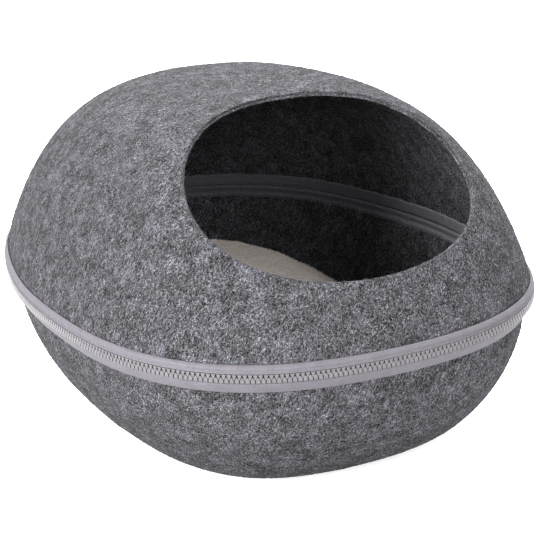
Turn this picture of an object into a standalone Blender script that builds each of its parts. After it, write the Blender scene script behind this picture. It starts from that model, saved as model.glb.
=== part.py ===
# Felt cat cave: two moulded felt shells joined by a closed zip, with a cushion on the floor.
# Metres, +Z up. The opening faces -Y and the cave is symmetric about the plane X = 0.
import bpy
import bmesh
from math import acos, atan2, cos, hypot, pi, radians, sin
from mathutils import Vector

MM = 0.001
COLUMNS = 60                       # columns round the cave

# zip line: the outermost ring, an egg with its blunt end at the back
RING_RADIUS = 220 * MM
RING_HARMONICS = {2: 0.1535, 3: -0.0347, 4: -0.0091, 5: -0.0125, 6: -0.0094}
RING_HEIGHT = 111.6 * MM
RING_TILT = 0.0076                 # rise toward the back
RING_SADDLE = (0.0447, 0.0047)     # lift at the sides, and at front and back

# felt dome
FELT = 4 * MM
DOME_TOP = 267 * MM
DOME_APEX_Y = -31.8 * MM
DOME_PLAN_POWER = 3.50
DOME_RISE_POWER = 1.188

# felt bowl with its flat base
BASE_SHARE = 0.40
BASE_SQUARENESS = -0.040
BASE_SHIFT_Y = -53.7 * MM
BOWL_PLAN_POWER = 1.94
BOWL_DROP_POWER = 1.70

# entrance, an oval looking forward and up
MOUTH_PITCH = radians(40.2)
MOUTH_HALF_WIDTH = 110.7 * MM
MOUTH_HALF_HEIGHT = 88 * MM
MOUTH_DROP = -11 * MM
MOUTH_EGG = -0.075

# seam profiles in mm: (out from the zip line, up from the zip line)
DOME_SEAM_OUT = [(-3.9, 9.1), (-4.1, 7.0), (-4.5, 4.6), (-4.6, 2.0)]
DOME_SEAM_IN = [(-8.6, 2.0), (-8.4, 4.6), (-8.0, 7.0), (-7.8, 9.3)]
BOWL_SEAM_IN = [(-12.4, -12.2), (-10.1, -7.0), (-8.8, -4.4), (-8.6, -2.0)]
BOWL_SEAM_OUT = [(-4.6, -2.0), (-4.9, -4.6), (-6.0, -7.2), (-8.4, -12.2)]
TAPE_UPPER = [(-2.9, 0.6), (-2.9, 3.3), (-1.7, 3.6), (-1.0, 4.2), (-0.7, 5.3), (-0.95, 6.7),
              (-1.7, 8.0), (-2.8, 9.2), (-3.55, 9.4), (-3.6, 7.0), (-4.1, 4.8), (-4.1, 0.6)]
TAPE_LOWER = [(-2.9, -0.6), (-4.1, -0.6), (-4.2, -4.5), (-5.6, -7.5), (-8.0, -12.1),
              (-6.7, -12.6), (-3.7, -8.0), (-2.2, -4.4), (-2.9, -3.5)]
TEETH_UPPER = [(-2.6, 0.15), (0.0, 0.15), (0.0, 3.15), (-2.6, 3.15)]
TEETH_LOWER = [(-2.6, -3.15), (0.0, -3.15), (0.0, -0.15), (-2.6, -0.15)]
STRIP_UPPER = [(-8.9, 0.3), (-8.7, 4.7), (-8.35, 7.1), (-8.15, 8.8), (-9.3, 9.1), (-9.7, 7.2),
               (-10.2, 4.8), (-10.3, 0.3)]
STRIP_LOWER = [(-10.3, -0.3), (-10.5, -4.9), (-11.7, -7.7), (-13.1, -10.2), (-11.9, -10.2),
               (-10.4, -7.0), (-9.1, -4.4), (-8.9, -0.3)]

# rows of the felt shells and the cushion
DOME_ROWS = [0.0, 0.12, 0.27, 0.43, 0.59, 0.73, 0.84, 0.92, 0.97]
BOWL_ROWS = [0.97, 0.90, 0.80, 0.66, 0.50, 0.33, 0.16, 0.0]
BASE_ROWS = [0.6, 0.0]

# cushion
PAD_CENTRE_Y = 8 * MM
PAD_HALF_WIDTH = 113 * MM
PAD_HALF_LENGTH = 206 * MM
PAD_SQUARENESS = 2.8
PAD_EDGE = 68 * MM
PAD_EDGE_RISE = 5 * MM
PAD_CROWN = 14 * MM
PAD_FLOOR = 4.3 * MM
PAD_CLEAR = 1.2 * MM
PAD_ROWS = [0.0, 0.3, 0.55, 0.75, 0.9, 0.98]

# half the difference of front and back reach, so that the box is centred on the origin
SHIFT_Y = RING_RADIUS * (RING_HARMONICS[3] + RING_HARMONICS[5])

COLOURS = {
    "felt_grey": ((0.115, 0.115, 0.12, 1.0), 0.95),
    "zip_tape": ((0.36, 0.34, 0.36, 1.0), 0.8),
    "zip_teeth": ((0.45, 0.42, 0.44, 1.0), 0.4),
    "seam_strip": ((0.3, 0.29, 0.3, 1.0), 0.85),
    "plush_cream": ((0.60, 0.56, 0.50, 1.0), 1.0),
}


def ringPoint(phi, out=0.0, up=0.0):
    radius = RING_RADIUS * (1 + sum(c * cos(k * phi) for k, c in RING_HARMONICS.items()))
    x, y = radius * sin(phi), -radius * cos(phi)
    z = RING_HEIGHT + RING_TILT * y
    z += (RING_SADDLE[0] * x * x + RING_SADDLE[1] * y * y) / RING_RADIUS
    return Vector((x + out * sin(phi), y - out * cos(phi), z + up))


def ringBearing(x, y, out, up):
    # the ring angle whose seam point lies in the direction (x, y)
    phi = aim = atan2(x, -y)
    for _ in range(6):
        p = ringPoint(phi, out, up)
        error = aim - atan2(p.x, -p.y)
        phi += (error + pi) % (2 * pi) - pi
    return phi


def domeHeight(x, y):
    # height of the dome's outer face over the plan position (x, y)
    out, up = DOME_SEAM_OUT[0][0] * MM, DOME_SEAM_OUT[0][1] * MM
    dx, dy = x, y - DOME_APEX_Y
    if hypot(dx, dy) < 1e-6:
        return DOME_TOP
    phi = aim = atan2(dx, -dy)
    for _ in range(6):
        p = ringPoint(phi, out, up)
        phi += (aim - atan2(p.x, DOME_APEX_Y - p.y) + pi) % (2 * pi) - pi
    p = ringPoint(phi, out, up)
    reach = hypot(dx, dy) / hypot(p.x, p.y - DOME_APEX_Y)
    rise = max(0.0, 1 - reach ** DOME_PLAN_POWER) ** (1 / DOME_RISE_POWER)
    return p.z + (DOME_TOP - p.z) * rise


def domeNormal(x, y, step=0.2 * MM):
    slopeX = (domeHeight(x + step, y) - domeHeight(x - step, y)) / (2 * step)
    slopeY = (domeHeight(x, y + step) - domeHeight(x, y - step)) / (2 * step)
    return Vector((-slopeX, -slopeY, 1)).normalized()


def mouthPoint(angle):
    # edge of the entrance on the dome's outer face
    look = Vector((0, -cos(MOUTH_PITCH), sin(MOUTH_PITCH)))
    lift = Vector((0, sin(MOUTH_PITCH), cos(MOUTH_PITCH)))
    start = Vector((MOUTH_HALF_WIDTH * cos(angle) * (1 + MOUTH_EGG * sin(angle)), 0, RING_HEIGHT))
    start += lift * (MOUTH_DROP + MOUTH_HALF_HEIGHT * sin(angle))
    near, far = 0.0, 400 * MM
    for _ in range(30):
        middle = (near + far) / 2
        p = start + look * middle
        if p.z < domeHeight(p.x, p.y):
            near = middle
        else:
            far = middle
    return start + look * near


def bowlPoint(phi, share, lift=0.0):
    # outer face of the bowl, share 1 at the seam and 0 at the rim of the flat base
    seam = ringPoint(phi, BOWL_SEAM_OUT[-1][0] * MM, BOWL_SEAM_OUT[-1][1] * MM)
    base = BASE_SHARE * (1 + BASE_SQUARENESS * cos(2 * phi))
    scale = base + (1 - base) * share
    drop = max(0.0, 1 - share ** BOWL_PLAN_POWER) ** (1 / BOWL_DROP_POWER)
    return Vector((seam.x * scale, seam.y * scale + BASE_SHIFT_Y * (1 - share), seam.z * (1 - drop) + lift))


def bowlInner(phi, share, depth):
    # the same face moved inward by depth along its normal
    step = 0.002
    here = bowlPoint(phi, share)
    along = bowlPoint(phi + step, share) - bowlPoint(phi - step, share)
    down = bowlPoint(phi, max(share - step, 0)) - bowlPoint(phi, share + step)
    return here + along.cross(down).normalized() * depth


def bowlHeight(x, y, depth):
    # height of the bowl's inner face, moved in by depth, over the plan position (x, y)
    low, high = 0.0, 0.999
    for _ in range(18):
        share = (low + high) / 2
        phi = ringBearing(x, y - BASE_SHIFT_Y * (1 - share), 0, 0)
        p = bowlInner(phi, share, depth)
        cy = BASE_SHIFT_Y * (1 - share)
        if hypot(x, y - cy) > hypot(p.x, p.y - cy):
            low = share
        else:
            high = share
    return max(bowlInner(ringBearing(x, y - BASE_SHIFT_Y * (1 - low), 0, 0), low, depth).z, depth)


def material(name):
    colour, roughness = COLOURS[name]
    made = bpy.data.materials.new(name)
    made.use_nodes = True
    shader = made.node_tree.nodes["Principled BSDF"]
    shader.inputs["Base Color"].default_value = colour
    shader.inputs["Roughness"].default_value = roughness
    made.diffuse_color = colour
    return made


def wrap(name, slot, section, closed=True):
    # a grid bent round the cave: one column per angle, one row per point of the section
    sections = [section(2 * pi * i / COLUMNS) for i in range(COLUMNS)]
    rows = len(sections[0]) if closed else len(sections[0]) - 1
    bm = bmesh.new()
    bmesh.ops.create_grid(bm, x_segments=COLUMNS, y_segments=rows, size=1)
    for v in bm.verts:
        i = round((v.co.x + 1) / 2 * COLUMNS) % COLUMNS
        j = round((v.co.y + 1) / 2 * rows) % len(sections[0])
        v.co = sections[i][j]
    bmesh.ops.remove_doubles(bm, verts=bm.verts, dist=0.00001)
    bmesh.ops.recalc_face_normals(bm, faces=bm.faces)
    mesh = bpy.data.meshes.new(name)
    bm.to_mesh(mesh)
    bm.free()
    mesh.polygons.foreach_set("use_smooth", [True] * len(mesh.polygons))
    made = bpy.data.objects.new(name, mesh)
    made.data.materials.append(bpy.data.materials.get(slot) or material(slot))
    made.location = (0, SHIFT_Y, 0)
    bpy.context.scene.collection.objects.link(made)
    return made


def profile(points):
    return lambda phi: [ringPoint(phi, out * MM, up * MM) for out, up in points]


def upperShell(phi):
    edge = mouthPoint(phi - pi / 2)
    seam = ringPoint(phi, DOME_SEAM_OUT[0][0] * MM, DOME_SEAM_OUT[0][1] * MM)
    outer, inner = [], []
    for row in DOME_ROWS:
        x, y = edge.x + (seam.x - edge.x) * row, edge.y + (seam.y - edge.y) * row
        face = Vector((x, y, domeHeight(x, y)))
        outer.append(face)
        inner.append(face - domeNormal(x, y) * FELT)
    return outer + profile(DOME_SEAM_OUT + DOME_SEAM_IN)(phi) + inner[::-1]


def lowerShell(phi):
    inner = [bowlInner(phi, row, FELT) for row in BOWL_ROWS]
    outer = [bowlPoint(phi, row) for row in BOWL_ROWS]
    centre = Vector((0, BASE_SHIFT_Y, 0))
    floor = [centre + (outer[-1] - centre) * row for row in BASE_ROWS]
    roof = [Vector((p.x, p.y, FELT)) for p in floor]
    for p in inner[-1:]:
        p.z = FELT
    return roof[::-1] + inner[::-1] + profile(BOWL_SEAM_IN + BOWL_SEAM_OUT)(phi) + outer + floor


def padOutline(phi):
    x, y = sin(phi), -cos(phi)
    reach = (abs(x / PAD_HALF_WIDTH) ** PAD_SQUARENESS
             + abs(y / PAD_HALF_LENGTH) ** PAD_SQUARENESS) ** (-1 / PAD_SQUARENESS)
    return x * reach, y * reach


def cushion(phi):
    dx, dy = padOutline(phi)
    edge = PAD_EDGE + PAD_EDGE_RISE * dy / PAD_HALF_LENGTH
    under, over = [], []
    for row in PAD_ROWS:
        x, y = dx * row, PAD_CENTRE_Y + dy * row
        bend = (1 - row * row) ** 0.5
        level = PAD_EDGE + (edge - PAD_EDGE) * row
        low = level - (level - PAD_FLOOR) * bend
        under.append(Vector((x, y, max(low, bowlHeight(x, y, FELT + PAD_CLEAR)))))
        over.append(Vector((x, y, level + PAD_CROWN * bend)))
    return under + [Vector((dx, PAD_CENTRE_Y + dy, edge))] + over[::-1]


def build():
    for old in list(bpy.data.objects):
        bpy.data.objects.remove(old, do_unlink=True)
    wrap("upper_shell", "felt_grey", upperShell)
    wrap("lower_shell", "felt_grey", lowerShell, closed=False)
    wrap("zip_tape_upper", "zip_tape", profile(TAPE_UPPER))
    wrap("zip_tape_lower", "zip_tape", profile(TAPE_LOWER))
    wrap("zip_teeth_upper", "zip_teeth", profile(TEETH_UPPER))
    wrap("zip_teeth_lower", "zip_teeth", profile(TEETH_LOWER))
    wrap("seam_strip_upper", "seam_strip", profile(STRIP_UPPER))
    wrap("seam_strip_lower", "seam_strip", profile(STRIP_LOWER))
    wrap("cushion", "plush_cream", cushion, closed=False)


build()
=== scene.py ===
import bpy
import bmesh
import numpy as np
from math import atan2, cos, hypot, pi, radians, sin
from mathutils import Matrix, Vector, noise
from mathutils.bvhtree import BVHTree


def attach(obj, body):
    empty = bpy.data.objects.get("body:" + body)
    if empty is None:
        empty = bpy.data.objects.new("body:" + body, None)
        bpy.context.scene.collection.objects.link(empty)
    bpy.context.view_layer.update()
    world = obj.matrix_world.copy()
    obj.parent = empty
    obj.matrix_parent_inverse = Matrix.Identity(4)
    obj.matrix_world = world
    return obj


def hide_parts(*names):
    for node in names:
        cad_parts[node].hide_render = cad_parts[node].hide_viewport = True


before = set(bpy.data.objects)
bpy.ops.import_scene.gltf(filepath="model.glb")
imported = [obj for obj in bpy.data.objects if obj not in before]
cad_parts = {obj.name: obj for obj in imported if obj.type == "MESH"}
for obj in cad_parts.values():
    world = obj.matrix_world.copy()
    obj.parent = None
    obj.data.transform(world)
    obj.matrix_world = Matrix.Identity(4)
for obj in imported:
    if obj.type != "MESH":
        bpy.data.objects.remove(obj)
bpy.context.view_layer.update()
scene = bpy.context.scene
mm = 0.001

# the ring that the zip follows
ring = {
    "radius": 220 * mm,
    # shares of the radius by the number of waves round the ring
    "harmonics": {2: 0.1535, 3: -0.0347, 4: -0.0091, 5: -0.0125, 6: -0.0094},
    "height": 111.6 * mm,
    "tilt": 0.0076,            # rise toward the back
    "saddle": (0.0447, 0.0047),    # rise toward the sides, along x and along y
    "trackSteps": 1440,
}
shiftY = ring["radius"] * (ring["harmonics"][3] + ring["harmonics"][5])


def ringPoint(phi, out=0.0, up=0.0):
    radius = ring["radius"] * (1 + sum(c * cos(k * phi) for k, c in ring["harmonics"].items()))
    x, y = radius * sin(phi), -radius * cos(phi)
    z = ring["height"] + ring["tilt"] * y
    z += (ring["saddle"][0] * x * x + ring["saddle"][1] * y * y) / ring["radius"]
    return Vector((x + out * sin(phi), y - out * cos(phi), z + up))


ringAngles = np.linspace(0, 2 * pi, ring["trackSteps"] + 1)
ringTrack = np.array([ringPoint(a) for a in ringAngles])
ringArc = np.concatenate([[0], np.cumsum(np.linalg.norm(np.diff(ringTrack, axis=0), axis=1))])
ringLength = float(ringArc[-1])


def angleAt(arc):
    return float(np.interp(arc % ringLength, ringArc, ringAngles))


# the two felt surfaces
dome = {
    "felt": 4 * mm,
    "top": 267 * mm,
    "apexY": -31.8 * mm,
    "planPower": 3.50,         # powers of the curve from the crown to the zip
    "risePower": 1.188,
    "seam": (-3.9 * mm, 9.1 * mm),    # out and up from the zip line
    "seamOut": [(-3.9, 9.1), (-4.0, 8.2), (-4.1, 7.0), (-4.5, 4.6), (-4.6, 2.0)],
    "seamIn": [(-8.6, 2.0), (-8.4, 4.6), (-8.0, 7.0), (-7.8, 9.3)],
    "columns": 288,
    "outerRows": 46,
    "innerRows": 24,
    "aimSteps": 5,
    "rowEase": 1.45,           # rows crowd toward the zip
    "calmZip": 6,              # the swells fade out over the last sixth of the way to the zip
}
mouth = {
    "pitch": radians(40.2),
    "halfWidth": 110.7 * mm,
    "halfHeight": 88 * mm,
    "drop": -11 * mm,
    "egg": -0.075,             # the oval is wider below than above
    "reach": 400 * mm,         # the edge is searched for this far along the cut
    "halvings": 22,
    # how the hand-cut edge strays: cosine and sine shares for one, two, three and four waves round it
    "uneven": [(-0.011, 0.003), (-0.009, -0.002), (-0.008, -0.001), (-0.008, -0.004)],
}
bowl = {
    "felt": 4 * mm,
    "baseShare": 0.40,         # width of the flat base against the zip's ring
    "baseSquareness": -0.040,
    "baseShiftY": -53.7 * mm,
    "planPower": 1.94,         # powers of the curve from the zip to the base
    "dropPower": 1.70,
    "seamIn": [(-12.4, -12.2), (-10.1, -7.0), (-8.8, -4.4), (-8.6, -2.0)],
    "seamOut": [(-4.6, -2.0), (-4.9, -4.6), (-6.0, -7.2), (-7.3, -9.9), (-8.4, -12.2)],
    "columns": 288,
    "outerRows": 40,
    "innerRows": 26,
    "baseRows": 7,
    "topShare": 0.985,         # the highest row lies just under the zip
    "rowEase": 1.25,
    "calmZip": 8,
    "calmBase": 6,
}


def domeHeight(x, y):
    out, up = dome["seam"]
    dx, dy = x, y - dome["apexY"]
    if hypot(dx, dy) < 1e-6:
        return dome["top"]
    # the point of the zip that lies in line with the apex and this place, found step by step
    phi = aim = atan2(dx, -dy)
    for _ in range(dome["aimSteps"]):
        p = ringPoint(phi, out, up)
        phi += (aim - atan2(p.x, dome["apexY"] - p.y) + pi) % (2 * pi) - pi
    p = ringPoint(phi, out, up)
    reach = hypot(dx, dy) / hypot(p.x, p.y - dome["apexY"])
    rise = max(0.0, 1 - reach ** dome["planPower"]) ** (1 / dome["risePower"])
    return p.z + (dome["top"] - p.z) * rise


def domeNormal(x, y, step=0.2 * mm):
    slopeX = (domeHeight(x + step, y) - domeHeight(x - step, y)) / (2 * step)
    slopeY = (domeHeight(x, y + step) - domeHeight(x, y - step)) / (2 * step)
    return Vector((-slopeX, -slopeY, 1)).normalized()


def mouthPoint(angle):
    look = Vector((0, -cos(mouth["pitch"]), sin(mouth["pitch"])))
    lift = Vector((0, sin(mouth["pitch"]), cos(mouth["pitch"])))
    stray = 1 + sum(a * cos(k * angle) + b * sin(k * angle) for k, (a, b) in enumerate(mouth["uneven"], 1))
    across = mouth["halfWidth"] * stray * cos(angle) * (1 + mouth["egg"] * sin(angle))
    start = Vector((across, 0, ring["height"]))
    start += lift * (mouth["drop"] + mouth["halfHeight"] * stray * sin(angle))
    near, far = 0.0, mouth["reach"]
    for _ in range(mouth["halvings"]):
        middle = (near + far) / 2
        p = start + look * middle
        if p.z < domeHeight(p.x, p.y):
            near = middle
        else:
            far = middle
    return start + look * near


def bowlPoint(phi, share):
    out, up = bowl["seamOut"][-1]
    seam = ringPoint(phi, out * mm, up * mm)
    base = bowl["baseShare"] * (1 + bowl["baseSquareness"] * cos(2 * phi))
    scale = base + (1 - base) * share
    drop = max(0.0, 1 - share ** bowl["planPower"]) ** (1 / bowl["dropPower"])
    return Vector((seam.x * scale, seam.y * scale + bowl["baseShiftY"] * (1 - share), seam.z * (1 - drop)))


def bowlInner(phi, share, depth):
    step = 0.002
    here = bowlPoint(phi, share)
    along = bowlPoint(phi + step, share) - bowlPoint(phi - step, share)
    down = bowlPoint(phi, max(share - step, 0)) - bowlPoint(phi, share + step)
    return here + along.cross(down).normalized() * depth


def seamPoints(profile, phi):
    return [ringPoint(phi, out * mm, up * mm) for out, up in profile]


# making a mesh
weldDistance = 0.01 * mm


def addPiece(name, bm, finish, smooth=True):
    bmesh.ops.translate(bm, verts=bm.verts, vec=(0, shiftY, 0))
    mesh = bpy.data.meshes.new(name)
    bm.to_mesh(mesh)
    bm.free()
    mesh.polygons.foreach_set("use_smooth", [smooth] * len(mesh.polygons))
    piece = bpy.data.objects.new(name, mesh)
    mesh.materials.append(finishes[finish])
    scene.collection.objects.link(piece)
    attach(piece, "root")
    return piece


def wrapGrid(sections, closed):
    # a grid bent round the cave: a column for each section, a row for each of its points
    columns, points = len(sections), len(sections[0])
    rows = points if closed else points - 1
    bm = bmesh.new()
    bmesh.ops.create_grid(bm, x_segments=columns, y_segments=rows, size=1, calc_uvs=True)
    for v in bm.verts:
        i = round((v.co.x + 1) / 2 * columns) % columns
        j = round((v.co.y + 1) / 2 * rows) % points
        v.co = sections[i][j]
    bmesh.ops.remove_doubles(bm, verts=bm.verts, dist=weldDistance)
    bmesh.ops.recalc_face_normals(bm, faces=bm.faces)
    return bm


def pointGrid(sections, first, count):
    # one face of a felt shell, its rows turned so that the faces look away from the felt
    return np.array([[tuple(p) for p in section[first:first + count][::-1]] for section in sections])


unevenFelt = {
    "height": 0.45 * mm,
    "swells": 28,              # noise scale per metre
    "ripples": 95,
    "rippleShare": 0.35,
}


def settled(p, seed=0.0):
    # hand-made unevenness: slow swells with a fainter, shorter ripple
    q = Vector((p.x + seed, p.y, p.z))
    slow = noise.noise(q * unevenFelt["swells"])
    return unevenFelt["height"] * (slow + unevenFelt["rippleShare"] * noise.noise(q * unevenFelt["ripples"]))


# finishes
finishes = {}


def newFinish(name, colour, roughness, specular=0.5, sheen=0.0, sheenRoughness=0.5):
    made = bpy.data.materials.new(name)
    made.use_nodes = True
    shader = made.node_tree.nodes["Principled BSDF"]
    shader.inputs["Base Color"].default_value = (*colour, 1)
    shader.inputs["Roughness"].default_value = roughness
    shader.inputs["Specular IOR Level"].default_value = specular
    shader.inputs["Sheen Weight"].default_value = sheen
    shader.inputs["Sheen Roughness"].default_value = sheenRoughness
    made.diffuse_color = (*colour, 1)
    finishes[name] = made
    return made.node_tree, shader


def addNode(tree, kind, **settings):
    node = tree.nodes.new(kind)
    for key, value in settings.items():
        setattr(node, key, value)
    return node


def noiseNode(tree, vector, scale, detail=2.0, roughness=0.5, distortion=0.0):
    node = addNode(tree, "ShaderNodeTexNoise", noise_dimensions="3D", noise_type="FBM")
    values = {"Scale": scale, "Detail": detail, "Roughness": roughness, "Distortion": distortion}
    for key, value in values.items():
        node.inputs[key].default_value = value
    tree.links.new(vector, node.inputs["Vector"])
    return node.outputs["Fac"]


def ramp(tree, value, stops):
    node = addNode(tree, "ShaderNodeValToRGB")
    bar = node.color_ramp
    while len(bar.elements) < len(stops):
        bar.elements.new(0.5)
    for element, (place, shade) in zip(bar.elements, stops):
        element.position = place
        element.color = (*shade, 1)
    tree.links.new(value, node.inputs["Fac"])
    return node.outputs["Color"]


def maths(tree, operation, a, b):
    node = addNode(tree, "ShaderNodeMath", operation=operation)
    for socket, value in zip(node.inputs, (a, b)):
        if hasattr(value, "links"):
            tree.links.new(value, socket)
        else:
            socket.default_value = value
    return node.outputs[0]


def tinted(tree, shade, tint):
    # the Mix node keeps its colour sockets at 6 and 7 and its colour result at 2
    node = addNode(tree, "ShaderNodeMix", data_type="RGBA", blend_type="MULTIPLY")
    node.inputs[0].default_value = 1
    tree.links.new(shade, node.inputs[6])
    tree.links.new(tint, node.inputs[7])
    return node.outputs[2]


def bump(tree, shader, height, strength, distance):
    node = addNode(tree, "ShaderNodeBump")
    node.inputs["Strength"].default_value = strength
    node.inputs["Distance"].default_value = distance
    tree.links.new(height, node.inputs["Height"])
    tree.links.new(node.outputs["Normal"], shader.inputs["Normal"])


felt = {
    "base": 0.0255,            # middle reflectance of the charcoal melange
    "gain": 2.65,              # contrast between dark and pale fibres
    "darkest": 0.08,           # least share of the middle, before the power
    "power": 4.0,              # pale fibres are few and bright, dark ones many
    "tints": [(0.38, (1.0, 0.975, 1.035)), (0.62, (0.974, 0.96, 1.085))],    # warm and cool clouds
    "clumps": (640, 0.34),     # noise scale per metre, share
    "specks": (1400, 0.48),
    "strands": (900, 0.36),
    "clouds": (85, 0.23),
    "brushed": (radians(10), radians(24), 0),    # lean of the strands from upright
    "stretched": (1, 1, 3.4),  # strands are this much longer than wide
    "bumps": (0.32, 0.35 * mm),    # strength and height of the relief
}


def makeFelt(name):
    # melange wool felt: pale and dark fibres pressed together in clumps
    tree, shader = newFinish(name, (0.02, 0.0196, 0.021), 1.0, specular=0.03)
    place = addNode(tree, "ShaderNodeTexCoord").outputs["Object"]
    clumps = noiseNode(tree, place, felt["clumps"][0], detail=2, roughness=0.6, distortion=0.6)
    specks = noiseNode(tree, place, felt["specks"][0], detail=1)
    brushed = addNode(tree, "ShaderNodeMapping", vector_type="TEXTURE")
    brushed.inputs["Rotation"].default_value = felt["brushed"]
    brushed.inputs["Scale"].default_value = felt["stretched"]
    tree.links.new(place, brushed.inputs["Vector"])
    strands = noiseNode(tree, brushed.outputs[0], felt["strands"][0], detail=1, roughness=0.6, distortion=0.8)
    clouds = noiseNode(tree, place, felt["clouds"][0], detail=3, roughness=0.6)
    # the mix of the four noises is centred on zero
    noises = {"clumps": clumps, "specks": specks, "strands": strands, "clouds": clouds}
    mix = -0.5 * sum(felt[key][1] for key in noises)
    for key, value in noises.items():
        mix = maths(tree, "ADD", maths(tree, "MULTIPLY", value, felt[key][1]), mix)
    mix = maths(tree, "ADD", maths(tree, "MULTIPLY", mix, felt["gain"]), 1.0)
    mix = maths(tree, "POWER", maths(tree, "MAXIMUM", mix, felt["darkest"]), felt["power"])
    shade = maths(tree, "MULTIPLY", mix, felt["base"])
    tree.links.new(tinted(tree, shade, ramp(tree, clouds, felt["tints"])), shader.inputs["Base Color"])
    bump(tree, shader, maths(tree, "ADD", clumps, specks), *felt["bumps"])


mottle = {
    "darkTo": 0.3,             # noise below this is dark
    "paleFrom": 0.7,
    "fine": 0.6,               # shares of a fine and a slow noise
    "slow": 0.4,
}


def darkToPale(tree, shader, value, dark, pale):
    stops = [(mottle["darkTo"], dark), (mottle["paleFrom"], pale)]
    tree.links.new(ramp(tree, value, stops), shader.inputs["Base Color"])


def mixedNoise(tree, fine, slow):
    fineShare = maths(tree, "MULTIPLY", fine, mottle["fine"])
    return maths(tree, "ADD", fineShare, maths(tree, "MULTIPLY", slow, mottle["slow"]))


weave = {
    "yarn": 900,               # noise scales per metre
    "cloud": 120,
    "shades": (0.82, 1.16),    # dark and pale, as shares of the middle colour
    "relief": 0.35,
}


def makeTape(name, colour, rib, roughness, specular, sheen=0.0):
    tree, shader = newFinish(name, colour, roughness, specular, sheen, sheenRoughness=0.3)
    place = addNode(tree, "ShaderNodeTexCoord").outputs["Object"]
    yarn = noiseNode(tree, place, weave["yarn"], detail=1)
    cloud = noiseNode(tree, place, weave["cloud"], detail=2)
    dark, pale = [tuple(c * k for c in colour) for k in weave["shades"]]
    darkToPale(tree, shader, mixedNoise(tree, yarn, cloud), dark, pale)
    bump(tree, shader, yarn, weave["relief"], rib)


def makeFibre(name, colour, roughness, specular, sheen, stops):
    # each fibre has one tone, from dark to pale
    tree, shader = newFinish(name, colour, roughness, specular=specular, sheen=sheen)
    tone = addNode(tree, "ShaderNodeAttribute", attribute_name="tone").outputs["Fac"]
    tree.links.new(ramp(tree, tone, stops), shader.inputs["Base Color"])


plush = {
    "pile": 420,               # noise scales per metre
    "cloud": 45,
    "middle": (0.58, 0.53, 0.485),
    "dark": (0.5, 0.455, 0.42),
    "pale": (0.68, 0.62, 0.57),
    "bumps": (0.6, 1.0 * mm),
}


def makePlush(name):
    tree, shader = newFinish(name, plush["middle"], 1.0, specular=0.05, sheen=0.1)
    place = addNode(tree, "ShaderNodeTexCoord").outputs["Object"]
    pile = noiseNode(tree, place, plush["pile"], detail=3, roughness=0.6, distortion=0.4)
    cloud = noiseNode(tree, place, plush["cloud"], detail=2)
    darkToPale(tree, shader, mixedNoise(tree, pile, cloud), plush["dark"], plush["pale"])
    bump(tree, shader, pile, *plush["bumps"])


def makeMottled(name, colour, roughness, specular, scale, dark, pale):
    tree, shader = newFinish(name, colour, roughness, specular=specular)
    place = addNode(tree, "ShaderNodeTexCoord").outputs["Object"]
    darkToPale(tree, shader, noiseNode(tree, place, scale, detail=2), dark, pale)


makeFelt("charcoalFelt")
makeFibre("napFibre", (0.62, 0.565, 0.52), 0.9, 0.05, 0.1, [(0.0, (0.52, 0.473, 0.435)),
                                                            (1.0, (0.73, 0.665, 0.61))])
makeFibre("looseFibre", (0.07, 0.0685, 0.073), 0.7, 0.1, 0.0, [(0.0, (0.011, 0.0107, 0.0118)),
                                                               (0.3, (0.025, 0.0245, 0.027)),
                                                               (0.7, (0.075, 0.0735, 0.079)),
                                                               (1.0, (0.15, 0.147, 0.156))])
makeTape("zipTape", (0.065, 0.0605, 0.069), 0.15 * mm, roughness=0.75, specular=0.15)
# the smooth strip's colour is paler than the ribbed one's as painted light: it stands in for the light its
# band catches; the finer and coarser ribs are the strips' own weave
makeTape("smoothStrip", (0.062, 0.0595, 0.068), 0.15 * mm, roughness=0.95, specular=0.05, sheen=0.5)
makeTape("ribbedStrip", (0.048, 0.046, 0.054), 0.25 * mm, roughness=0.95, specular=0.05, sheen=0.5)
makeMottled("zipTeeth", (0.056, 0.052, 0.057), 0.45, 0.3, 220, (0.05, 0.0465, 0.051), (0.063, 0.0585, 0.064))
makeMottled("thread", (0.12, 0.116, 0.13), 0.8, 0.2, 700, (0.09, 0.087, 0.098), (0.15, 0.145, 0.16))
makePlush("creamPlush")
print("finishes made")

# dome felt
rim = {
    "round": 0.6 * mm,
    "groove": 2.8 * mm,        # depth of the line between the two layers at the cut edge
    "grooveAt": 1.5 * mm,      # from the outer face
    "grooveHalf": 0.75 * mm,
}


def rimSection(edge, inward, normal):
    # cut edge of the felt: outer arris, layer line, inner arris; inward points across the opening
    r, t = rim["round"], dome["felt"]
    middle, half, depth = rim["grooveAt"], rim["grooveHalf"], rim["groove"]
    outerArris = [(-0.3 * r, 0.1 * r), (-0.08 * r, 0.45 * r), (0, r)]
    layerLine = [(0, middle - half), (-0.6 * depth, middle - 0.7 * half), (-depth, middle),
                 (-0.6 * depth, middle + 0.7 * half), (0, middle + half)]
    innerArris = [(0, t - r), (-0.1 * r, t - 0.5 * r), (-0.4 * r, t - 0.12 * r)]
    return [edge + inward * a - normal * d for a, d in outerArris + layerLine + innerArris]


def eased(count, power):
    return [1 - (1 - i / count) ** power for i in range(count)]


def domeSection(phi):
    edge = mouthPoint(phi - pi / 2)
    seam = ringPoint(phi, *dome["seam"])
    outer, inner = [], []
    for count, rows, depth in ((dome["outerRows"], outer, 0), (dome["innerRows"], inner, dome["felt"])):
        for row in eased(count, dome["rowEase"]):
            x, y = edge.x + (seam.x - edge.x) * row, edge.y + (seam.y - edge.y) * row
            face, normal = Vector((x, y, domeHeight(x, y))), domeNormal(x, y)
            swell = settled(face) * min(1, (1 - row) * dome["calmZip"])
            rows.append(face + normal * (swell - depth))
    inward = (outer[0] - outer[1]).normalized()
    outer[0] -= inward * rim["round"]
    inner[0] -= inward * rim["round"]
    cut = rimSection(outer[0] + inward * rim["round"], inward, domeNormal(edge.x, edge.y))
    return outer + seamPoints(dome["seamOut"] + dome["seamIn"], phi) + inner[::-1] + cut[::-1]


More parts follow.
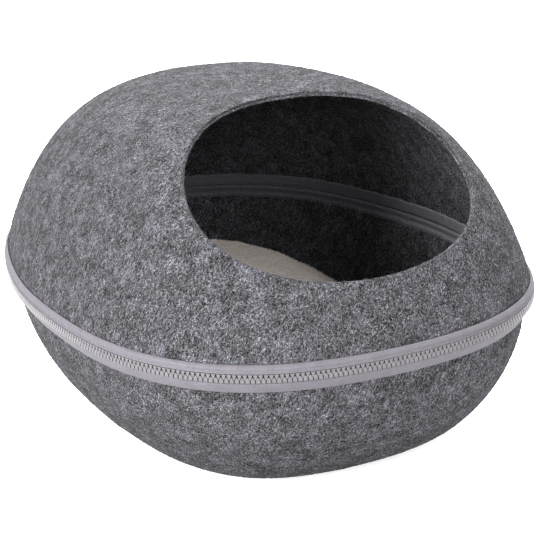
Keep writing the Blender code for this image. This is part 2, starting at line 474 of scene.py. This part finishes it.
sections = [domeSection(2 * pi * i / dome["columns"]) for i in range(dome["columns"])]
outerRows, innerRows = dome["outerRows"], dome["innerRows"]
seamRows = outerRows + len(dome["seamOut"] + dome["seamIn"])
domeGrids = [pointGrid(sections, 0, outerRows), pointGrid(sections, seamRows, innerRows)]
rimGrid = pointGrid(sections, seamRows + innerRows, len(sections[0]) - seamRows - innerRows)
domeFelt = addPiece("dome_felt", wrapGrid(sections, closed=True), "charcoalFelt")
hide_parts("upper_shell")
print("dome felt made,", len(domeFelt.data.polygons), "faces")


# bowl felt
def bowlSection(phi):
    inner, outer = [], []
    for count, rows, depth in ((bowl["innerRows"], inner, bowl["felt"]), (bowl["outerRows"], outer, 0)):
        for i in range(count + 1):
            share = bowl["topShare"] * (1 - (i / count) ** bowl["rowEase"])
            p = bowlInner(phi, share, depth)
            deeper = bowlInner(phi, share, depth + 1 * mm)
            swell = settled(bowlPoint(phi, share), seed=3.0)
            swell *= min(1, (1 - share) * bowl["calmZip"]) * min(1, share * bowl["calmBase"])
            rows.append(p + (p - deeper).normalized() * swell)
    for p in inner:
        p.z = max(p.z, bowl["felt"])
    centre = Vector((0, bowl["baseShiftY"], 0))
    shares = [1 - (i + 1) / bowl["baseRows"] for i in range(bowl["baseRows"])]
    outer[-1].z = 0
    floor = [centre + (outer[-1] - centre) * row for row in shares]
    roofCentre = Vector((0, 0, bowl["felt"])) + centre
    roof = [roofCentre + (Vector((inner[-1].x, inner[-1].y, 0)) - centre) * row for row in shares]
    return roof[::-1] + inner[::-1] + seamPoints(bowl["seamIn"] + bowl["seamOut"], phi) + outer + floor


sections = [bowlSection(2 * pi * i / bowl["columns"]) for i in range(bowl["columns"])]
outerRows, innerRows = bowl["outerRows"] + 1, bowl["innerRows"] + 1
seamRows = bowl["baseRows"] + innerRows + len(bowl["seamIn"] + bowl["seamOut"])
bowlGrids = [pointGrid(sections, seamRows, outerRows), pointGrid(sections, bowl["baseRows"], innerRows)]
bowlFelt = addPiece("bowl_felt", wrapGrid(sections, closed=False), "charcoalFelt")
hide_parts("lower_shell")
print("bowl felt made,", len(bowlFelt.data.polygons), "faces")

# fibres that stand loose on the felt and the nap of the plush
fibres = {
    # lengths and thicknesses in mm; the count is first, doubled so many times
    "felt": {"first": 28, "doublings": 10, "length": (2.2, 6.0), "thick": (0.08, 0.14), "lift": 0.22,
             "curl": 0.16, "rise": 0.0, "tone": (0, 1), "grain": (0.55, -0.25, 1.2)},
    "rim": {"first": 10, "doublings": 8, "length": (1.2, 2.8), "thick": (0.06, 0.09), "lift": 0.3,
            "curl": 0.2, "rise": 0.45, "tone": (0.62, 1), "grain": (0, 0, 0)},
    "nap": {"first": 20, "doublings": 10, "length": (2.6, 4.2), "thick": (0.1, 0.17), "lift": 0.5,
            "curl": 0.12, "rise": 0.62, "tone": (0, 1), "grain": (0, 0, 0)},
}
clearOfFloor = 3 * mm          # no fibre starts lower
napSlope = 0.35                # the nap stands only where the plush faces up this much


def gridCorners(grids):
    # the four corners of every face in the grids, each corner as one array
    return [np.concatenate([np.roll(g, -a, 0)[:, b:g.shape[1] - 1 + b].reshape(-1, 3) for g in grids])
            for a, b in ((0, 0), (1, 0), (0, 1), (1, 1))]


def spindleMesh(name, doublings, first):
    # one thin spindle, repeated first times and then doubled; it gives the mesh and the spindle's own corners
    bm = bmesh.new()
    bmesh.ops.create_cone(bm, cap_ends=True, cap_tris=True, segments=3, radius1=1, radius2=0, depth=0.5)
    bmesh.ops.translate(bm, verts=bm.verts, vec=(0, 0, 0.25))
    bmesh.ops.translate(bm, verts=[v for v in bm.verts if v.co.length < 0.01], vec=(0, 0, -0.5))
    corners = np.array([tuple(v.co) for v in bm.verts])
    mesh = bpy.data.meshes.new(name)
    bm.to_mesh(mesh)
    for times in [first] + [2] * doublings:
        bm.clear()
        for _ in range(times):
            bm.from_mesh(mesh)
        bm.to_mesh(mesh)
    bm.free()
    return mesh, corners


def looseFibres(name, corners, kind, finish, seed):
    # each fibre is a spindle, bent once; it lies on the cloth or leans out of it
    size = fibres[kind]
    mesh, spindle = spindleMesh(name, size["doublings"], size["first"])
    count = len(mesh.vertices) // len(spindle)
    rng = np.random.default_rng(seed)
    across = np.cross(corners[1] - corners[0], corners[2] - corners[0])
    areas = np.linalg.norm(across, axis=1)
    weight = areas * (corners[0][:, 2] > clearOfFloor)
    if kind == "nap":
        weight = weight * (across[:, 2] > napSlope * areas)
    pick = rng.choice(len(areas), count, p=weight / weight.sum())
    u, v = rng.random((2, count, 1))
    a, b, c, d = (corner[pick] for corner in corners)
    root = (a * (1 - u) + b * u) * (1 - v) + (c * (1 - u) + d * u) * v
    normal = across[pick] / areas[pick][:, None]
    side = np.cross(normal, rng.normal(size=(count, 3)) + size["grain"])
    side /= np.linalg.norm(side, axis=1)[:, None]
    flat = np.cross(side, normal)
    rise = size["rise"] * rng.uniform(0.5, 1, (count, 1))
    length = rng.uniform(*size["length"], (count, 1)) * mm
    thick = rng.uniform(*size["thick"], (count, 1)) * mm
    lift = size["lift"] * mm * rng.random((count, 2, 1)) ** 2
    along = (flat * (1 - rise * rise) ** 0.5 + normal * rise) * length + normal * lift[:, 1]
    middle = root + along * rise / 2
    belly = normal * (thick + lift[:, 0]) + side * length * rng.normal(0, size["curl"], (count, 1))
    places = [middle + z * along + thick * (y * side - x * normal) + (1 - abs(2 * z)) * belly
              for x, y, z in spindle]
    mesh.vertices.foreach_set("co", (np.stack(places, axis=1) + (0, shiftY, 0)).ravel())
    tone = mesh.attributes.new("tone", "FLOAT", "POINT")
    tone.data.foreach_set("value", np.repeat(rng.uniform(*size["tone"], count), len(spindle)))
    mesh.materials.append(finishes[finish])
    mesh.update()
    piece = bpy.data.objects.new(name, mesh)
    scene.collection.objects.link(piece)
    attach(piece, "root")


looseFibres("dome_loose_fibres", gridCorners(domeGrids), "felt", "looseFibre", 11)
looseFibres("bowl_loose_fibres", gridCorners(bowlGrids), "felt", "looseFibre", 12)
looseFibres("opening_edge_fibres", gridCorners([rimGrid]), "rim", "looseFibre", 14)
print("loose fibres made")

# zip
zipParts = {
    "pitch": 3.65 * mm,
    "steps": 420,              # sections of a tape round the ring
    # cross-sections in mm: (out, up) from the zip line
    "upperTape": [(-3.6, 0.1), (-3.6, 3.1), (-2.0, 3.2), (-0.4, 3.15), (-0.35, 3.9), (-1.1, 4.6),
                  (-1.5, 5.2), (-0.9, 5.9), (-0.75, 6.8), (-1.2, 7.8), (-2.1, 8.8), (-2.9, 9.35),
                  (-3.45, 9.45), (-3.6, 8.9), (-3.6, 7.1), (-4.1, 4.8), (-4.1, 0.1)],
    "lowerTape": [(-3.6, -0.1), (-4.1, -0.1), (-4.2, -4.5), (-5.6, -7.5), (-8.0, -12.0), (-7.6, -12.6),
                  (-6.8, -12.6), (-6.0, -11.5), (-3.7, -8.0), (-2.5, -5.6), (-2.0, -4.6), (-2.1, -3.95),
                  (-3.6, -3.6)],
    # half outline of a tooth: (half width, height from the zip line)
    "upperTooth": [(1.5, 3.15), (1.62, 2.7), (1.15, 1.35), (1.1, 0.8), (0.4, -0.75)],
    "lowerTooth": [(1.5, -3.15), (1.5, -1.0), (1.2, -0.45), (0.3, 0.9)],
    "toothDepth": 3.3,
    "toothRound": 0.28,
}


def bend(bm, stray=None):
    # straight work, x along the zip, y outward and z up, is bent round the ring
    for v in bm.verts:
        phi, out, up = angleAt(v.co.x), v.co.y, v.co.z
        v.co = ringPoint(phi, *(stray(phi, out, up) if stray else (out, up)))
    bmesh.ops.reverse_faces(bm, faces=bm.faces)    # the bend mirrors the work


def tapePiece(name, profile, finish, stray=None):
    places = [(out * mm, up * mm) for out, up in profile]
    steps = zipParts["steps"]
    sections = []
    for phi in (angleAt(ringLength * i / steps) for i in range(steps)):
        sections.append([ringPoint(phi, *(stray(phi, *place) if stray else place)) for place in places])
    piece = addPiece(name, wrapGrid(sections, closed=True), finish)
    piece.modifiers.new("soft edges", "SUBSURF").levels = 1
    piece.modifiers["soft edges"].render_levels = 1
    return piece


upperTape = tapePiece("upper_zip_tape", zipParts["upperTape"], "zipTape")
lowerTape = tapePiece("lower_zip_tape", zipParts["lowerTape"], "zipTape")
for piece, node in ((upperTape, "zip_tape_upper"), (lowerTape, "zip_tape_lower")):
    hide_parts(node)


def toothMesh(outline, depth, softness):
    bm = bmesh.new()
    points = outline + [(-w, z) for w, z in outline[::-1]]
    face = bm.faces.new([bm.verts.new((x * mm, 0, z * mm)) for x, z in points])
    made = bmesh.ops.extrude_face_region(bm, geom=[face])
    moved = [g for g in made["geom"] if isinstance(g, bmesh.types.BMVert)]
    bmesh.ops.translate(bm, verts=moved, vec=(0, -depth * mm, 0))
    bmesh.ops.recalc_face_normals(bm, faces=bm.faces)
    front = [e for e in bm.edges if all(abs(v.co.y) < 1e-6 for v in e.verts)]
    bmesh.ops.bevel(bm, geom=front, offset=softness * mm, segments=1, profile=0.5, affect="EDGES",
                    material=-1)
    return bm


def repeated(bm, count, pitch, start):
    # copies of one small shape in a straight row
    row = bmesh.new()
    single = bpy.data.meshes.new("single")
    bm.to_mesh(single)
    bm.free()
    for i in range(count):
        before = len(row.verts)
        row.from_mesh(single)
        row.verts.ensure_lookup_table()
        bmesh.ops.translate(row, verts=row.verts[before:], vec=(start + i * pitch, 0, 0))
    bpy.data.meshes.remove(single)
    return row


toothCount = round(ringLength / zipParts["pitch"])
toothPitch = ringLength / toothCount
for name, outline, start, node in (("upper_zip_teeth", "upperTooth", 0, "zip_teeth_upper"),
                                   ("lower_zip_teeth", "lowerTooth", toothPitch / 2, "zip_teeth_lower")):
    row = repeated(toothMesh(zipParts[outline], zipParts["toothDepth"], zipParts["toothRound"]),
                   toothCount, toothPitch, start)
    bend(row)
    teeth = addPiece(name, row, "zipTeeth", smooth=False)
    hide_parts(node)
print("zip made,", toothCount, "teeth a side")

# inner strips and their stitching
strips = {
    # cross-sections in mm: (out, up) from the zip line
    "upper": [(-8.9, 0.3), (-8.8, 2.6), (-8.7, 4.7), (-8.35, 7.1), (-8.2, 8.6), (-8.5, 9.1), (-9.2, 9.1),
              (-9.7, 7.4), (-10.2, 4.9), (-10.5, 2.6), (-10.3, 0.3)],
    "lower": [(-10.3, -0.3), (-10.5, -2.6), (-10.6, -4.9), (-11.7, -7.7), (-12.9, -10.0), (-12.6, -10.5),
              (-12.0, -10.2), (-10.4, -7.0), (-9.1, -4.4), (-8.9, -2.4), (-8.9, -0.3)],
    "waves": 85,               # puckers, as noise scale per metre
    "wander": 0.8 * mm,        # how far a free edge strays up or down
    "standOff": 0.9 * mm,      # how far it lifts from the felt
    "liftWaves": 1.6,          # the lifts are this much shorter than the puckers
    "liftShare": 0.4,          # middle lift, as a share of standOff
    "width": 9 * mm,
    "wallLean": 0.44,          # of the bowl's felt behind the lower strip
    "stitchPitch": 1.7 * mm,
    "stitchRadius": 0.42 * mm,
    "stitchSlant": radians(12),
    # rows of overcast stitches: (name, middle of the stitch, its lean, its length)
    "rows": [("a", (-9.3, 8.4), (-0.2, 1.0), 2.6), ("b", (-10.55, -1.9), (0.05, 1.0), 2.6),
             ("c", (-11.6, -7.4), (0.45, 1.0), 3.2)],
}


def puckered(phi, out, up):
    # a sewn strip lies straight along the seam, and its free edge wanders and lifts off the felt
    share = min(1.0, abs(up) / strips["width"])
    spot = ringPoint(phi) * strips["waves"]
    wander = strips["wander"] * noise.noise(spot) * share
    rise = max(0.0, strips["liftShare"] + noise.noise(spot * strips["liftWaves"]))
    lift = strips["standOff"] * rise * share
    lean = strips["wallLean"] if up < 0 else 0.0
    return out - lift + lean * wander, up + wander


for name, node, finish in (("upper", "seam_strip_upper", "smoothStrip"),
                           ("lower", "seam_strip_lower", "ribbedStrip")):
    piece = tapePiece(f"inner_strip_{name}", strips[name], finish, puckered)
    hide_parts(node)
count = round(ringLength / strips["stitchPitch"])
for name, (out, up), lean, long in strips["rows"]:
    bm = bmesh.new()
    radius = strips["stitchRadius"]
    bmesh.ops.create_cone(bm, cap_ends=True, segments=5, radius1=radius, radius2=radius, depth=long * mm)
    turn = Vector((0, 0, 1)).rotation_difference(Vector((0, *lean)).normalized()).to_matrix()
    slant = Matrix.Rotation(strips["stitchSlant"], 3, "Y")
    bmesh.ops.rotate(bm, verts=bm.verts, cent=(0, 0, 0), matrix=turn @ slant)
    bmesh.ops.translate(bm, verts=bm.verts, vec=(0, out * mm, up * mm))
    row = repeated(bm, count, ringLength / count, 0)
    bend(row, puckered)
    addPiece(f"strip_stitches_{name}", row, "thread")
print("inner strips made")

# cushion
pad = {
    "centreY": 8 * mm,
    "halfWidth": 113 * mm,
    "halfLength": 206 * mm,
    "squareness": 2.8,
    "edge": 68 * mm,
    "edgeRise": 5 * mm,
    "crown": 14 * mm,
    "floor": 4.3 * mm,
    "columns": 120,
    "rows": 22,
    "voxel": 5 * mm,
    "shrink": 2.5 * mm,        # the pad starts this much smaller than it ends
    "pressure": 4.0,
    "stiffness": 12,
    "quality": 5,
    "mass": 0.2,               # of each point, in kg
    "steps": 20,
    "cap": 6 * mm,             # no point moves further
    "startClear": 2.5 * mm,    # above the bowl's felt before it is filled
    "clear": 1.6 * mm,         # and after
    "castFrom": 115 * mm,      # the bowl's floor is looked for downward from this height
    "beside": 100 * mm,        # height taken where no bowl lies below
}
bowlTree = BVHTree.FromObject(bowlFelt, bpy.context.evaluated_depsgraph_get())


def bowlFloor(x, y):
    hit = bowlTree.ray_cast(Vector((x, y + shiftY, pad["castFrom"])), Vector((0, 0, -1)))
    return hit[0].z if hit[0] is not None else pad["beside"]


def padSection(phi):
    x, y = sin(phi), -cos(phi)
    power = pad["squareness"]
    reach = (abs(x / pad["halfWidth"]) ** power + abs(y / pad["halfLength"]) ** power) ** (-1 / power)
    dx, dy = x * (reach - pad["shrink"]), y * (reach - pad["shrink"])
    tilt = pad["edgeRise"] * dy / pad["halfLength"]
    under, over = [], []
    for i in range(pad["rows"]):
        row = sin(pi / 2 * i / pad["rows"])
        px, py = dx * row, pad["centreY"] + dy * row
        bulge = (1 - row * row) ** 0.5
        level = pad["edge"] + tilt * row
        low = level - (level - pad["floor"]) * bulge
        under.append(Vector((px, py, max(low, bowlFloor(px, py) + pad["startClear"]))))
        over.append(Vector((px, py, level + (pad["crown"] - pad["shrink"]) * bulge)))
    return under + [Vector((dx, pad["centreY"] + dy, pad["edge"] + tilt))] + over[::-1]


def finished(piece):
    # the mesh as its modifiers leave it
    return bpy.data.meshes.new_from_object(piece.evaluated_get(bpy.context.evaluated_depsgraph_get()))


def pointPlaces(mesh):
    places = np.empty(len(mesh.vertices) * 3)
    mesh.vertices.foreach_get("co", places)
    return places.reshape(-1, 3)


def filled(piece):
    # the plush case is blown up by its filling and settles on the felt
    remesh = piece.modifiers.new("even faces", "REMESH")
    remesh.mode, remesh.voxel_size = "VOXEL", pad["voxel"]
    cover = finished(piece)
    piece.modifiers.clear()
    piece.data = cover
    before = pointPlaces(cover)
    cloth = piece.modifiers.new("filling", "CLOTH").settings
    cloth.quality, cloth.mass = pad["quality"], pad["mass"]
    cloth.tension_stiffness = cloth.compression_stiffness = pad["stiffness"]
    cloth.use_pressure, cloth.uniform_pressure_force = True, pad["pressure"]
    cloth.effector_weights.gravity = 0
    for step in range(1, pad["steps"] + 1):
        scene.frame_set(step)
    move = pointPlaces(finished(piece)) - before
    piece.modifiers.clear()
    scene.frame_set(1)
    far = np.linalg.norm(move, axis=1, keepdims=True)
    places = before + move * np.minimum(1, pad["cap"] / np.maximum(far, 1e-9))
    for place in places:
        place[2] = max(place[2], bowlFloor(place[0], place[1] - shiftY) + pad["clear"])
    cover.vertices.foreach_set("co", places.ravel())
    cover.update()
    print("cushion filled, moved up to %.1f mm" % (far.max() / mm))
    piece.modifiers.new("even curve", "SUBSURF").levels = 1
    piece.modifiers["even curve"].render_levels = 1


sections = [padSection(2 * pi * i / pad["columns"]) for i in range(pad["columns"])]
cushion = addPiece("plush_cushion", wrapGrid(sections, closed=False), "creamPlush")
filled(cushion)
cushion.data.polygons.foreach_set("use_smooth", [True] * len(cushion.data.polygons))
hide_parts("cushion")
cover = finished(cushion)
quads = np.array([tuple(p.vertices) for p in cover.polygons if len(p.vertices) == 4])
places = pointPlaces(cover) - (0, shiftY, 0)
looseFibres("plush_nap", [places[quads[:, k]] for k in (0, 1, 3, 2)], "nap", "napFibre", 13)
bpy.data.meshes.remove(cover)
print("cushion made")

# floor, light and camera
studio = {
    "floorSize": 12.0,
    "floorShade": 0.6,
    "floorGlow": 0.58,
    "worldGlow": 0.8,
    "aim": (0, 0, 0.1),        # every light points here
    "azimuth": radians(-24.9),
    "elevation": radians(18.22),
    "distance": 1637 * mm,
    "target": (16.1 * mm, 111 * mm),    # to the right and up, where the camera points
    "roll": radians(-2.66),
    "lens": 137.3,
    "sensor": 36,
    "clipEnd": 50,
    # soft square lights: place, width, watts
    "lights": {"left_window": ((-2.0, -0.8, 1.03), 1.3, 206),
               "front_light": ((0.2, -2.0, 1.0), 1.0, 50),
               "low_front_light": ((-1.0, -2.1, 0.65), 0.8, 22),
               "back_light": ((0.2, 1.4, 2.0), 1.2, 176),
               "right_light": ((1.2, 0.4, 1.9), 1.0, 140)},
}
bm = bmesh.new()
bmesh.ops.create_grid(bm, x_segments=1, y_segments=1, size=studio["floorSize"] / 2)
mesh = bpy.data.meshes.new("studio_floor")
bm.to_mesh(mesh)
bm.free()
floor = bpy.data.objects.new("studio_floor", mesh)
scene.collection.objects.link(floor)
_, shader = newFinish("whiteSweep", (studio["floorShade"],) * 3, 1.0, specular=0.0)
shader.inputs["Emission Color"].default_value = (1, 1, 1, 1)
shader.inputs["Emission Strength"].default_value = studio["floorGlow"]
floor.data.materials.append(finishes["whiteSweep"])

world = bpy.data.worlds.new("studio")
world.use_nodes = True
background = world.node_tree.nodes["Background"]
background.inputs["Color"].default_value = (1, 1, 1, 1)
background.inputs["Strength"].default_value = studio["worldGlow"]
scene.world = world

for name, (place, width, watts) in studio["lights"].items():
    lamp = bpy.data.lights.new(name, "AREA")
    lamp.shape, lamp.size, lamp.energy = "SQUARE", width, watts
    box = bpy.data.objects.new(name, lamp)
    box.location = place
    box.rotation_euler = (Vector(studio["aim"]) - Vector(place)).to_track_quat("-Z", "Y").to_euler()
    scene.collection.objects.link(box)

azimuth, elevation, roll = studio["azimuth"], studio["elevation"], studio["roll"]
back = Vector((sin(azimuth) * cos(elevation), -cos(azimuth) * cos(elevation), sin(elevation)))
right = Vector((cos(azimuth), sin(azimuth), 0))
upward = back.cross(right)
target = right * studio["target"][0] + Vector((0, shiftY, studio["target"][1]))
lens = bpy.data.cameras.new("camera")
lens.sensor_width, lens.sensor_fit, lens.lens = studio["sensor"], "HORIZONTAL", studio["lens"]
lens.clip_end = studio["clipEnd"]
camera = bpy.data.objects.new("camera", lens)
rolledRight = right * cos(roll) + upward * sin(roll)
rolledUp = -right * sin(roll) + upward * cos(roll)
axes = Matrix((rolledRight, rolledUp, back)).transposed()
camera.matrix_world = Matrix.Translation(target + back * studio["distance"]) @ axes.to_4x4()
scene.collection.objects.link(camera)
scene.camera = camera
scene.view_settings.view_transform = "Standard"
print("studio made")
